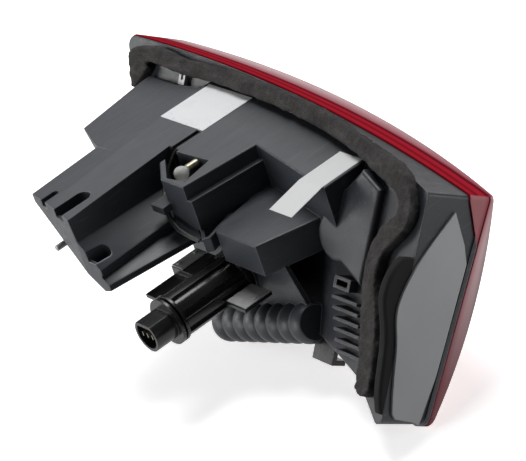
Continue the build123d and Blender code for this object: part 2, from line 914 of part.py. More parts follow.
with BuildPart() as stop_bulb_glass:
    add(bulb_glass(stop_bowl))
stop_bulb_glass.part.label = "stop_bulb_glass"
export_step(stop_bulb_glass.part, "parts/stop_bulb_glass.step")

with BuildPart() as turn_socket:
    add(bulb_socket(turn_bowl))
turn_socket.part.label = "turn_socket"
export_step(turn_socket.part, "parts/turn_socket.step")

with BuildPart() as turn_bulb_cap:
    add(bulb_cap(turn_bowl))
turn_bulb_cap.part.label = "turn_bulb_cap"
export_step(turn_bulb_cap.part, "parts/turn_bulb_cap.step")

with BuildPart() as turn_bulb_glass:
    add(bulb_glass(turn_bowl))
turn_bulb_glass.part.label = "turn_bulb_glass"
export_step(turn_bulb_glass.part, "parts/turn_bulb_glass.step")

with BuildPart() as reverse_socket:
    add(bulb_socket(reverse_bowl))
reverse_socket.part.label = "reverse_socket"
export_step(reverse_socket.part, "parts/reverse_socket.step")

with BuildPart() as reverse_bulb_cap:
    add(bulb_cap(reverse_bowl))
reverse_bulb_cap.part.label = "reverse_bulb_cap"
export_step(reverse_bulb_cap.part, "parts/reverse_bulb_cap.step")

with BuildPart() as reverse_bulb_glass:
    add(bulb_glass(reverse_bowl))
reverse_bulb_glass.part.label = "reverse_bulb_glass"
export_step(reverse_bulb_glass.part, "parts/reverse_bulb_glass.step")

# Bulb carrier: connector shroud, flange rings, fluted body, collar and plain spigot
body_y = flange_y + 2 * flange_t + flange_gap
with BuildPart() as bulb_carrier:
    with BuildSketch(cross(car_back_y)):
        with Locations((car_x, car_z)):
            Circle(car_root_r)
    extrude(amount=car_back_y - flange_y)
    with BuildSketch(cross(sleeve_y)):
        with Locations((car_x, car_z)):
            Circle(car_r)
            with PolarLocations(car_root_r, flutes):
                Rectangle(4 * wall, flute_w, mode=Mode.INTERSECT)
    extrude(amount=sleeve_y - body_y)
    with BuildSketch(cross(car_back_y)):
        with Locations((car_x, car_z)):
            Circle(car_r)
    extrude(amount=car_back_y - sleeve_y + seal_t)
    with BuildSketch(cross(sleeve_y - seal_t)):
        with Locations((car_x, car_z)):
            Circle(seal_r)
    extrude(amount=seal_t)
    with BuildSketch(cross(flange_y + flange_t), cross(body_y)):
        with Locations((car_x, car_z)):
            Circle(flange_r)
    extrude(amount=flange_t)
    with BuildSketch(cross(flange_y)):
        with Locations((car_x, car_z)):
            Circle(tube_r)
        with Locations((car_x, car_z + tube_flat)):
            Rectangle(2 * tube_r, tube_r, align=(Align.CENTER, Align.MIN), mode=Mode.SUBTRACT)
    extrude(amount=tube_len)
    with BuildSketch(cross(flange_y - tube_floor)):
        with Locations((car_x, car_z)):
            Circle(tube_bore)
        with Locations((car_x, car_z + tube_flat - tube_r + tube_bore)):
            Rectangle(2 * tube_r, tube_r, align=(Align.CENTER, Align.MIN), mode=Mode.SUBTRACT)
    extrude(amount=tube_len, mode=Mode.SUBTRACT)
    with BuildSketch(Plane.XY.offset(left_wing_z - wing_t)):
        with Locations((left_wing_x, wing_y)):
            Rectangle(car_x - left_wing_x, wing_len, align=(Align.MIN, Align.MIN))
    extrude(amount=wing_t)
    with BuildSketch(Plane.XY.offset(left_wing_z - wing_t - guard_drop)):
        with Locations((guard_x, guard_y)):
            Rectangle(car_x - guard_x, wing_y - guard_y + wing_t, align=(Align.MIN, Align.MIN))
    extrude(amount=wing_t)
    with BuildSketch(Plane.XY.offset(left_wing_z - wing_t - guard_drop)):
        with Locations((left_wing_x, wing_y)):
            Rectangle(car_x - left_wing_x, wing_t, align=(Align.MIN, Align.MIN))
    extrude(amount=guard_drop)
    with BuildSketch(Plane.XY.offset(right_wing_z - wing_t)):
        with Locations((right_wing_x, wing_y)):
            Rectangle(right_wing_x - car_x, wing_len, align=(Align.MAX, Align.MIN))
    extrude(amount=wing_t)
bulb_carrier.part.label = "bulb_carrier"
export_step(bulb_carrier.part, "parts/bulb_carrier.step")

# Rubber ring pressed between collar and sleeve
with BuildPart() as carrier_seal:
    with BuildSketch(cross(sleeve_y)):
        with Locations((car_x, car_z)):
            Circle(seal_r)
            Circle(car_r, mode=Mode.SUBTRACT)
    extrude(amount=seal_t)
carrier_seal.part.label = "carrier_seal"
export_step(carrier_seal.part, "parts/carrier_seal.step")

# Blades in the connector shroud
with BuildPart() as connector_pins:
    with BuildSketch(cross(flange_y - tube_floor)):
        with Locations((car_x, car_z)):
            with GridLocations(pin_pitch, pin_pitch, pin_count, 1):
                Rectangle(pin_t, pin_w)
    extrude(amount=pin_len)
connector_pins.part.label = "connector_pins"
export_step(connector_pins.part, "parts/connector_pins.step")

# Contact strips on the wings and their rivets
strip_y = wing_y + wing_len / 2
with BuildPart() as contact_strip_left:
    with BuildSketch(Plane.XY.offset(left_wing_z)):
        with Locations((left_wing_x, strip_y)):
            Rectangle(metal_left, metal_w, align=(Align.MIN, Align.CENTER))
    extrude(amount=metal_t)
contact_strip_left.part.label = "contact_strip_left"
export_step(contact_strip_left.part, "parts/contact_strip_left.step")

with BuildPart() as contact_strip_right:
    with BuildSketch(Plane.XY.offset(right_wing_z)):
        with Locations((right_wing_x, strip_y)):
            Rectangle(metal_right, metal_w, align=(Align.MAX, Align.CENTER))
    extrude(amount=metal_t)
contact_strip_right.part.label = "contact_strip_right"
export_step(contact_strip_right.part, "parts/contact_strip_right.step")

with BuildPart() as contact_rivets:
    with BuildSketch(Plane.XY.offset(left_wing_z + metal_t)):
        with Locations((left_wing_x + rivet_in, strip_y)):
            with GridLocations(rivet_in, metal_w - 2 * rivet_in, 1, 2):
                Circle(rivet_r)
    extrude(amount=rivet_h)
    with BuildSketch(Plane.XY.offset(right_wing_z + metal_t)):
        with Locations((right_wing_x - rivet_in, strip_y)):
            Circle(rivet_r)
    extrude(amount=rivet_h)
contact_rivets.part.label = "contact_rivets"
export_step(contact_rivets.part, "parts/contact_rivets.step")

# Small bulb in the pocket
with BuildPart() as side_bulb_glass:
    with Locations((side_x, side_y, side_z)):
        Sphere(side_r)
    with BuildSketch(cross(side_y)):
        with Locations((side_x, side_z)):
            Circle(side_neck_r)
    extrude(amount=-side_r)
    with BuildSketch(cross(side_y + side_r)):
        with Locations((side_x, side_z)):
            Circle(2 * side_r)
    extrude(amount=-side_r, mode=Mode.SUBTRACT)
side_bulb_glass.part.label = "side_bulb_glass"
export_step(side_bulb_glass.part, "parts/side_bulb_glass.step")

with BuildPart() as side_bulb_cap:
    with BuildSketch(cross(side_y + side_r + side_cap_len)):
        with Locations((side_x, side_z)):
            Circle(side_cap_r)
    extrude(amount=side_cap_len)
side_bulb_cap.part.label = "side_bulb_cap"
export_step(side_bulb_cap.part, "parts/side_bulb_cap.step")

# Two wires from the slit round to the box
with BuildPart() as lead_pair:
    for shift in (Vector(), Vector(*lead_shift)):
        inner = Vector(lead_x, lead_in_y, lead_z) + shift
        outer = Vector(lead_x, lead_out_y, lead_z) + shift
        bends = [Vector(*point) + shift for point in lead_path]
        with BuildLine() as wire:
            Line(inner, outer)
            Spline(outer, *bends, tangents=((0, -1, 0), (1, 0, 0)))
        with BuildSketch(Plane(origin=inner, z_dir=(0, -1, 0))):
            Circle(lead_r)
        sweep(path=wire.line)
lead_pair.part.label = "lead_pair"
export_step(lead_pair.part, "parts/lead_pair.step")

# Fixing stud pressed into its boss, with washer and nut
with BuildPart() as fixing_stud:
    with BuildSketch(cross(boss_y + stud_bury)):
        Circle(stud_core_r)
    extrude(amount=boss_y + stud_bury)
    with BuildSketch(cross(0)):
        Circle(stud_r)
    extrude(amount=stud_free)
    chamfer(fixing_stud.edges().sort_by(Axis.Y)[0], stud_r / 4)
fixing_stud.part.label = "fixing_stud"
export_step(fixing_stud.part, "parts/fixing_stud.step")

with BuildPart() as stud_washer:
    with BuildSketch(cross(boss_y)):
        Circle(washer_r)
        Circle(stud_core_r, mode=Mode.SUBTRACT)
    extrude(amount=washer_t)
stud_washer.part.label = "stud_washer"
export_step(stud_washer.part, "parts/stud_washer.step")

with BuildPart() as stud_nut:
    with BuildSketch(cross(nut_t)):
        RegularPolygon(nut_r, 6)
        Circle(stud_core_r, mode=Mode.SUBTRACT)
    extrude(amount=nut_t)
stud_nut.part.label = "stud_nut"
export_step(stud_nut.part, "parts/stud_nut.step")

# Bare paper labels, the narrow one with a free drooping end
with BuildPart() as label_square:
    with BuildSketch(Plane.XY.offset(deck_z)):
        with Locations((label_x, label_y)):
            Rectangle(label_w, label_len)
    extrude(amount=label_t)
label_square.part.label = "label_square"
export_step(label_square.part, "parts/label_square.step")

bend_y = deck_end_y
droop_y = bend_y - strip_free * math.cos(math.radians(strip_droop))
droop_z = deck_z - strip_free * math.sin(math.radians(strip_droop))
with BuildPart() as label_strip:
    with BuildSketch(Plane.YZ.offset(strip_x - strip_w / 2)):
        Polygon(
            (strip_back_y, deck_z),
            (strip_back_y, deck_z + label_t),
            (bend_y, deck_z + label_t),
            (droop_y, droop_z + label_t),
            (droop_y, droop_z),
            (bend_y, deck_z),
            align=None,
        )
    extrude(amount=strip_w)
label_strip.part.label = "label_strip"
export_step(label_strip.part, "parts/label_strip.step")

# Clip foot under the lower wall of the tray, an angle with its toe towards the lens
low_slope = (low_in[1] - low_mid[1]) / (low_in[0] - low_mid[0])
foot_left_top = low_mid[1] + low_slope * (foot_left_x - low_mid[0])
foot_right_top = low_mid[1] + low_slope * (foot_right_x - low_mid[0])
foot_low = foot_right_top - foot_drop
with BuildPart() as retaining_foot:
    with BuildSketch(at_n(foot_n)):
        Polygon(
            (foot_left_x, foot_left_top),
            (foot_right_x, foot_right_top),
            (foot_right_x, foot_low),
            (foot_left_x, foot_low),
            align=None,
        )
    extrude(amount=-foot_t)
    with BuildSketch(at_n(foot_n)):
        with Locations((foot_left_x, foot_low)):
            Rectangle(foot_right_x - foot_left_x, foot_t, align=(Align.MIN, Align.MIN))
    extrude(amount=-foot_toe)
retaining_foot.part.label = "retaining_foot"
export_step(retaining_foot.part, "parts/retaining_foot.step")

# Small clip on the seat's wall beside the wing
with BuildPart() as edge_clip:
    with BuildSketch(at_n(seat_n(clip_x) - clip_out)):
        with Locations((clip_x, clip_top)):
            Rectangle(clip_w, clip_h, align=(Align.CENTER, Align.MAX))
            Rectangle(clip_w / 3, clip_h / 2, align=(Align.CENTER, Align.MAX), mode=Mode.SUBTRACT)
    extrude(amount=-2 * clip_out)
    add(seat_zone(0, -far), mode=Mode.INTERSECT)
edge_clip.part.label = "edge_clip"
export_step(edge_clip.part, "parts/edge_clip.step")

# Rubber plug in the open end of the gallery
with BuildPart() as gallery_plug:
    with BuildSketch(Plane(origin=gal_start, z_dir=tuple(gal_vec))):
        Circle(gal_r - wall)
    extrude(amount=plug_t)
gallery_plug.part.label = "gallery_plug"
export_step(gallery_plug.part, "parts/gallery_plug.step")
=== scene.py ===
import json
import math

import bpy
from mathutils import Matrix, Vector


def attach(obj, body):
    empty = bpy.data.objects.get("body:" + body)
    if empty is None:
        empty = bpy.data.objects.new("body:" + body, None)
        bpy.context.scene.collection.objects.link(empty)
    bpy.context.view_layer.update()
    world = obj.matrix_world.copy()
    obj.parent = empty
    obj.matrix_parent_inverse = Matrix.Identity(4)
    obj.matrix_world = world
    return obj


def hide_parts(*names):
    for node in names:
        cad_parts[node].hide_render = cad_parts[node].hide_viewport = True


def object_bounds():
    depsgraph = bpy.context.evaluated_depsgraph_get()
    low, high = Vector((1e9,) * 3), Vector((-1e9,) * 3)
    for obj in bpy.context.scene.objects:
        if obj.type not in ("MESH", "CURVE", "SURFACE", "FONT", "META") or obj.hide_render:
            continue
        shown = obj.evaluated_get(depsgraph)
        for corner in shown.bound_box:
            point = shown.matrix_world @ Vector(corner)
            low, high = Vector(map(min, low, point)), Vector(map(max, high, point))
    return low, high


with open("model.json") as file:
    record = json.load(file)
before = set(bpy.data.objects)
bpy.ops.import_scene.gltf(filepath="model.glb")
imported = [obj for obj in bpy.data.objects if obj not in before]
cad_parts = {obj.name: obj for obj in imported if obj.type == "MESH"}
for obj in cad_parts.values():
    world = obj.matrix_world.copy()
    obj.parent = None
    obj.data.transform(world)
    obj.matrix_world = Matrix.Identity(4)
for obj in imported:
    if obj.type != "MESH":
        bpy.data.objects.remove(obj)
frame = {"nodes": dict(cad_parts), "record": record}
cad_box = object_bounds()
nodes = frame["nodes"]
slot_of = {row["node"]: row["material_slot"] for row in frame["record"]["subparts"]}

X_AXIS = (1, 0, 0)
Y_AXIS = (0, 1, 0)
Z_AXIS = (0, 0, 1)

# The lens face leans back by this angle. UP_RAKE runs up it and OUT_RAKE out of it.
RAKE = math.radians(35)
FACE_POINT = Vector((0, 0.169, 0.040))
UP_RAKE = Vector((0, math.sin(RAKE), math.cos(RAKE)))
OUT_RAKE = Vector((0, math.cos(RAKE), -math.sin(RAKE)))

# Depth to which the lens is red, falling away inboard of a place in a curve of this radius. LENS_SIDE runs
# over RED_SPAN on either side of that depth, with a slight waver.
RED_DEPTH = 0.024
RED_FALL_X = 0.080
RED_FALL_R = 2.0
RED_SPAN = 0.030
RED_WAVER = 0.0012

# The gasket's seat: flat up to a place, then falling away inboard in a curve of this radius
SEAT_FALL_X = -0.010
SEAT_FALL_R = 1.05

# Depths at the seat between which the paler plastic gives way to darker plastic, painted as shade beside the
# gasket
GASKET_SHADE_FROM = -0.030
GASKET_SHADE_TO = -0.008

# Weld of lens and housing: its depth at FACE_POINT, how it deepens up the rake, and the depths before and
# past it that LENS_END runs over
WELD_DEPTH = 0.0127
WELD_SLOPE = 0.0857
WELD_BEFORE = 0.004
WELD_PAST = 0.016

# Heights on the face between which the lens end darkens downwards, and how much
LENS_LOW = -0.16
LENS_HIGH = -0.06
LENS_LOW_AMOUNT = 0.8

# How much light passes through the lens on its sides, its end and its front
LENS_SIDE_CLEAR = 0.5
LENS_END_CLEAR = 0.25
LENS_FRONT_CLEAR = 0.3

# Lens colours: along its sides by depth, on its end by depth past the weld, low on its end, and in front
LENS_SIDE = [
    (0.0, (0.2, 0.006, 0.014)),
    (0.1, (0.28, 0.01, 0.02)),
    (0.2, (0.34, 0.014, 0.025)),
    (0.3, (0.15, 0.006, 0.014)),
    (0.34, (0.32, 0.013, 0.024)),
    (0.43, (0.3, 0.014, 0.026)),
    (0.46, (0.1, 0.005, 0.012)),
    (0.51, (0.14, 0.01, 0.018)),
    (0.56, (0.36, 0.08, 0.1)),
    (0.64, (0.54, 0.22, 0.25)),
    (0.9, (0.78, 0.56, 0.57)),
]
LENS_END = [
    (0.0, (0.5, 0.2, 0.22)),
    (0.17, (0.42, 0.1, 0.12)),
    (0.2, (0.09, 0.008, 0.014)),
    (0.25, (0.1, 0.01, 0.016)),
    (0.3, (0.68, 0.34, 0.37)),
    (0.5, (0.84, 0.6, 0.62)),
    (0.8, (0.76, 0.62, 0.63)),
    (1.0, (0.4, 0.34, 0.35)),
]
LENS_END_LOW = (0.24, 0.05, 0.065)
LENS_FRONT = (0.55, 0.012, 0.022)

# Housing colours, and the width of its edges made lighter as wear and painted highlight
HOUSING_DARK = (0.03, 0.035, 0.043)
HOUSING_LIGHT = (0.037, 0.043, 0.052)
# Paler colour for faces that look up: partly a dusting, partly painted light from above
HOUSING_DUST_AND_TOP_LIGHT = (0.056, 0.06, 0.068)
# Darker colour painted as shade beside the gasket
HOUSING_GASKET_SHADE = (0.022, 0.024, 0.03)
HOUSING_SPECK = (0.13, 0.13, 0.13)
HOUSING_SCRATCH = (0.1, 0.103, 0.11)
# Lighter colour along the edges: wear and painted highlight
HOUSING_WEAR_AND_HIGHLIGHT = (0.42, 0.43, 0.455)
EDGE_WEAR_AND_HIGHLIGHT_WIDTH = 0.0011

# Panel colours
PANEL_DARK = (0.31, 0.318, 0.325)
PANEL_LIGHT = (0.345, 0.35, 0.357)
PANEL_SMEAR = (0.26, 0.265, 0.27)

# Foam colours
FOAM_PATCHES = [
    (0.25, (0.036, 0.034, 0.033)),
    (0.55, (0.074, 0.071, 0.069)),
    (0.8, (0.108, 0.105, 0.102)),
]
FOAM_STREAK = (0.13, 0.127, 0.123)
FOAM_PORE = (0.02, 0.018, 0.018)

# Foam shape: cell of its mesh, rounding, and name, size and height of its lumps and pits
FOAM_CELL = 0.0013
FOAM_ROUNDING = 0.6
FOAM_ROUNDS = 4
FOAM_RELIEF = [("lumps", 0.011, 0.0022), ("pits", 0.0032, 0.0012)]

# The foam's outboard end is drawn out and down from here, so that it fills the seat's corner
FOAM_END_X = -0.088
FOAM_END_UP = 0.004
FOAM_END_REACH = 0.010
FOAM_END_OUT = 0.4
FOAM_END_DOWN = 0.9

# Route of the left wire out of the deck's slit and round to the box, and the other wire's place beside it
LEAD_ROUTE = [
    (0.0385, 0.116, 0.036),
    (0.0385, 0.092, 0.0364),
    (0.0383, 0.085, 0.036),
    (0.0365, 0.078, 0.027),
    (0.037, 0.069, 0.0185),
    (0.054, 0.052, 0.009),
    (0.077, 0.042, 0.003),
    (0.092, 0.042, -0.001),
    (0.102, 0.0445, -0.004),
]
LEAD_SHIFT = (0.0026, 0.0, 0.002)
LEAD_R = 0.0012
LEAD_ORDER = 3
LEAD_ROUND = 4
LEAD_STEPS = 16

# Middle and half width of the square label, the width of its scuffed border, where the other label starts,
# and the colours of soil and scuffs
LABEL_X = 0.015
LABEL_Y = 0.139
LABEL_HALF = 0.027
LABEL_BORDER = 0.009
LABEL_PAST = 0.004
LABEL_BLEND = 0.001
LABEL_SOIL = (0.55, 0.55, 0.54)
LABEL_SCUFF = (0.3, 0.29, 0.27)

# Camera of the photograph: place in metres, its axes, and focal length and picture width in pixels
CAMERA_PLACE = Vector((1.5514, -0.7501, 0.9151))
CAMERA_RIGHT = Vector((0.615661, 0.735671, -0.282398))
CAMERA_UP = Vector((-0.235647, 0.513849, 0.824882))
FOCAL_PX = 2508
IMAGE_W = 526
SENSOR_MM = 36.0
CAMERA_REACH = 50

# World: its light on the lamp, and its strength in reflections
AMBIENT = 0.06
GLOSS = 0.08

# Key light: which way it shines, its strength, and its spread in degrees
KEY_TOWARDS = (0.2, -0.2, -0.96)
KEY_STRENGTH = 2.1
KEY_SPREAD = 30

# Soft boxes: name, place, aim, power in watts, and width
SOFT_BOXES = [
    ("top", (-0.9, 0.75, 1.0), (0.1, 0.1, 0.0), 4.2, 1.1),
    ("left", (-1.3, -0.75, 0.38), (0.0, 0.1, 0.0), 9.0, 0.7),
    ("front", (-0.35, -1.25, 0.1), (0.15, 0.1, 0.0), 12.0, 0.8),
    ("side", (0.85, 0.45, -0.05), (0.3, 0.08, -0.06), 2.7, 0.35),
    ("back", (0.0, 1.0, 0.3), (0.1, 0.2, 0.0), 2.0, 0.6),
]

# Floor: its gap below the lamp, width, glow, the colour that it bounces, and the distances from the lamp
# between which its glow fades out of reflections
FLOOR_GAP = 0.002
FLOOR_SIZE = 30
FLOOR_GLOW = 0.6
FLOOR_BOUNCE = (0.3, 0.3, 0.3)
FLOOR_NEAR = 0.3
FLOOR_FAR = 0.6

# Fineness of the reflector's optics
OPTICS_SCALE = 55

# Softened edges: samples, and how well softened and true normals agree on a flat face and on a sharp edge
BEVEL_SAMPLES = 6
EDGE_FLAT = 0.97
EDGE_SHARP = 0.75

# Sockets of the mix node for two colours
MIX_FACTOR, MIX_FIRST, MIX_SECOND, MIX_RESULT = 0, 6, 7, 2


class Shade:
    """A material under construction, with short ways to add and join nodes."""

    def __init__(self, name):
        self.material = bpy.data.materials.new(name)
        self.material.use_nodes = True
        self.tree = self.material.node_tree
        self.shader = self.tree.nodes["Principled BSDF"]
        self.places = {}

    def node(self, kind, **values):
        made = self.tree.nodes.new(kind)
        for key, value in values.items():
            setattr(made, key, value)
        return made

    def join(self, source, target):
        self.tree.links.new(source, target)

    def set(self, **values):
        for key, value in values.items():
            self.shader.inputs[key.replace("_", " ")].default_value = value

    def place(self):
        """Position in the row frame, in metres."""
        if "object" not in self.places:
            self.places["object"] = self.node("ShaderNodeTexCoord").outputs["Object"]
        return self.places["object"]

    def face_place(self):
        """Position measured from the lens face's point."""
        if "face" not in self.places:
            shift = self.node("ShaderNodeVectorMath", operation="SUBTRACT")
            self.join(self.place(), shift.inputs[0])
            shift.inputs[1].default_value = FACE_POINT
            self.places["face"] = shift.outputs["Vector"]
        return self.places["face"]

    def normal(self):
        if "normal" not in self.places:
            self.places["normal"] = self.node("ShaderNodeNewGeometry").outputs["Normal"]
        return self.places["normal"]

    def noise(self, scale, detail=4.0, rough=0.55, stretch=None):
        """Noise from 0 to 1: its scale per metre, octaves, their roughness, and a stretch by axis."""
        made = self.node("ShaderNodeTexNoise")
        made.inputs["Scale"].default_value = scale
        made.inputs["Detail"].default_value = detail
        made.inputs["Roughness"].default_value = rough
        if stretch:
            mapping = self.node("ShaderNodeMapping")
            mapping.inputs["Scale"].default_value = stretch
            self.join(self.place(), mapping.inputs["Vector"])
            self.join(mapping.outputs["Vector"], made.inputs["Vector"])
        else:
            self.join(self.place(), made.inputs["Vector"])
        return made.outputs["Fac"]

    def along(self, vector, direction):
        """Part of a vector along a direction."""
        made = self.node("ShaderNodeVectorMath", operation="DOT_PRODUCT")
        self.join(vector, made.inputs[0])
        made.inputs[1].default_value = direction
        return made.outputs["Value"]

    def math(self, operation, first, second=None):
        made = self.node("ShaderNodeMath", operation=operation)
        for socket, value in zip(made.inputs, (first, second)):
            if value is None:
                continue
            if isinstance(value, (int, float)):
                socket.default_value = value
            else:
                self.join(value, socket)
        return made.outputs["Value"]

    def face_depth(self, fall_x, fall_r):
        """Depth out of the raked face, levelled where it falls away inboard in a curve."""
        past = self.math("SUBTRACT", self.along(self.face_place(), X_AXIS), fall_x)
        inboard = self.math("MAXIMUM", past, 0.0)
        fall = self.math("DIVIDE", self.math("POWER", inboard, 2.0), 2 * fall_r)
        return self.math("ADD", self.along(self.face_place(), OUT_RAKE), fall)

    def span(self, value, low, high, to_low=0.0, to_high=1.0):
        """Maps a value's span to another one, clamped."""
        made = self.node("ShaderNodeMapRange")
        self.join(value, made.inputs["Value"])
        for key, number in (("From Min", low), ("From Max", high), ("To Min", to_low), ("To Max", to_high)):
            made.inputs[key].default_value = number
        return made.outputs["Result"]

    def ramp(self, value, stops):
        """Colour ramp through (place, colour) stops."""
        made = self.node("ShaderNodeValToRGB")
        band = made.color_ramp
        while len(band.elements) < len(stops):
            band.elements.new(1.0)
        for element, (where, colour) in zip(band.elements, stops):
            element.position = where
            element.color = (*colour, 1.0)
        self.join(value, made.inputs["Fac"])
        return made.outputs["Color"]

    def mix(self, factor, first, second):
        """Mixes two colours, each a socket or a constant."""
        made = self.node("ShaderNodeMix", data_type="RGBA")
        for index, value in ((MIX_FACTOR, factor), (MIX_FIRST, first), (MIX_SECOND, second)):
            socket = made.inputs[index]
            if isinstance(value, (int, float)):
                socket.default_value = value
            elif isinstance(value, tuple):
                socket.default_value = (*value, 1.0)
            else:
                self.join(value, socket)
        return made.outputs[MIX_RESULT]

    def colour(self, socket):
        self.join(socket, self.shader.inputs["Base Color"])

    def rough(self, socket):
        self.join(socket, self.shader.inputs["Roughness"])

    def softened(self, radius):
        """Normal rounded over the edges within a radius."""
        bevel = self.node("ShaderNodeBevel", samples=BEVEL_SAMPLES)
        bevel.inputs["Radius"].default_value = radius
        return bevel.outputs["Normal"]

    def edges(self, radius):
        """1 along the edges within a radius, 0 on flat faces."""
        made = self.node("ShaderNodeVectorMath", operation="DOT_PRODUCT")
        self.join(self.softened(radius), made.inputs[0])
        self.join(self.normal(), made.inputs[1])
        return self.span(made.outputs["Value"], EDGE_FLAT, EDGE_SHARP)

    def bump(self, height, distance, strength=1.0, edge=None):
        """Bump from a height value, over an optional softened edge of that radius."""
        made = self.node("ShaderNodeBump")
        made.inputs["Distance"].default_value = distance
        made.inputs["Strength"].default_value = strength
        self.join(height, made.inputs["Height"])
        if edge:
            self.join(self.softened(edge), made.inputs["Normal"])
        self.join(made.outputs["Normal"], self.shader.inputs["Normal"])


def housing_plastic():
    """Black moulded plastic, satin: dusted and painted lighter from above where it looks up, painted shade
    by the gasket, wear and painted highlights along its edges.
    """
    shade = Shade("housing plastic")
    cloud = shade.noise(22, 5, 0.6)
    scuff = shade.noise(160, 6, 0.7, stretch=(1.0, 0.25, 1.0))
    base = shade.mix(shade.span(cloud, 0.35, 0.7), HOUSING_DARK, HOUSING_LIGHT)
    # Painted light from above, partly a dusting: faces that look up are made paler
    upward = shade.span(shade.along(shade.normal(), Z_AXIS), 0.6, 1.0)
    dust_and_top_light = shade.math("MULTIPLY", upward, shade.span(cloud, 0.25, 0.75, 0.5, 1.0))
    # Painted shade beside the gasket, where the deck falls away: the plastic there is darkened
    gasket_shade = shade.span(shade.face_depth(SEAT_FALL_X, SEAT_FALL_R), GASKET_SHADE_FROM, GASKET_SHADE_TO)
    # This mix holds the dusting, the painted light from above and the painted shade by the gasket
    dusty = shade.mix(gasket_shade, shade.mix(dust_and_top_light, base, HOUSING_DUST_AND_TOP_LIGHT), HOUSING_GASKET_SHADE)
    speck = shade.span(shade.noise(900, 2, 0.5), 0.66, 0.72, 0.0, 0.35)
    scratch = shade.span(shade.noise(420, 2, 0.5, stretch=(1.0, 0.05, 1.0)), 0.64, 0.7, 0.0, 0.3)
    marked = shade.mix(scratch, shade.mix(speck, dusty, HOUSING_SPECK), HOUSING_SCRATCH)
    # Painted highlights along every edge, hollow ones too, partly wear
    edge_wear_and_highlight = shade.math("MULTIPLY", shade.edges(EDGE_WEAR_AND_HIGHLIGHT_WIDTH), shade.span(cloud, 0.3, 0.65, 0.35, 0.9))
    shade.colour(shade.mix(edge_wear_and_highlight, marked, HOUSING_WEAR_AND_HIGHLIGHT))
    shade.rough(shade.span(scuff, 0.3, 0.7, 0.36, 0.5))
    shade.set(Specular_IOR_Level=0.5)
    shade.bump(shade.noise(2600, 3, 0.6), 0.00012, 0.5, edge=0.0016)
    return shade.material


def grey_trim():
    """Smooth grey end panel with faint handling marks."""
    shade = Shade("grey trim")
    cloud = shade.noise(14, 4, 0.5)
    smear = shade.noise(70, 5, 0.6, stretch=(1.0, 0.3, 0.3))
    base = shade.mix(shade.span(cloud, 0.3, 0.7), PANEL_DARK, PANEL_LIGHT)
    shade.colour(shade.mix(shade.span(smear, 0.55, 0.75, 0.0, 0.3), base, PANEL_SMEAR))
    shade.rough(shade.span(smear, 0.3, 0.7, 0.42, 0.55))
    shade.bump(shade.noise(1800, 3, 0.5), 0.0001, 0.3, edge=0.0008)
    return shade.material


def carrier_plastic():
    """Glossy black plastic with fine flow marks."""
    shade = Shade("carrier plastic")
    flow = shade.noise(60, 5, 0.6, stretch=(1.0, 0.2, 1.0))
    shade.colour(shade.ramp(flow, [(0.3, (0.009, 0.009, 0.01)), (0.7, (0.019, 0.019, 0.021))]))
    shade.rough(shade.span(flow, 0.3, 0.7, 0.2, 0.32))
    shade.bump(shade.noise(700, 3, 0.5), 0.0001, 0.25, edge=0.0009)
    return shade.material


def black_rubber():
    """Matte rubber with a fine grain."""
    shade = Shade("black rubber")
    cloud = shade.noise(45, 4, 0.6)
    shade.colour(shade.ramp(cloud, [(0.3, (0.008, 0.008, 0.009)), (0.75, (0.019, 0.019, 0.02))]))
    shade.rough(shade.span(cloud, 0.3, 0.7, 0.6, 0.8))
    shade.set(Specular_IOR_Level=0.15)
    shade.bump(shade.noise(1500, 4, 0.6), 0.0002, 0.5)
    return shade.material


def foam():
    """Worn open foam: grey in patches, with pale dusty streaks and dark pores."""
    shade = Shade("foam")
    pores = shade.noise(1300, 5, 0.7)
    patches = shade.noise(38, 5, 0.65)
    streaks = shade.noise(120, 4, 0.6, stretch=(0.25, 1.0, 1.0))
    base = shade.ramp(patches, FOAM_PATCHES)
    dirty = shade.mix(shade.span(streaks, 0.52, 0.72, 0.0, 0.6), base, FOAM_STREAK)
    shade.colour(shade.mix(shade.span(pores, 0.42, 0.6, 0.65, 0.0), dirty, FOAM_PORE))
    shade.set(Roughness=0.92, Specular_IOR_Level=0.2)
    shade.bump(shade.math("ADD", pores, shade.math("MULTIPLY", streaks, 0.6)), 0.0011, 0.9)
    return shade.material


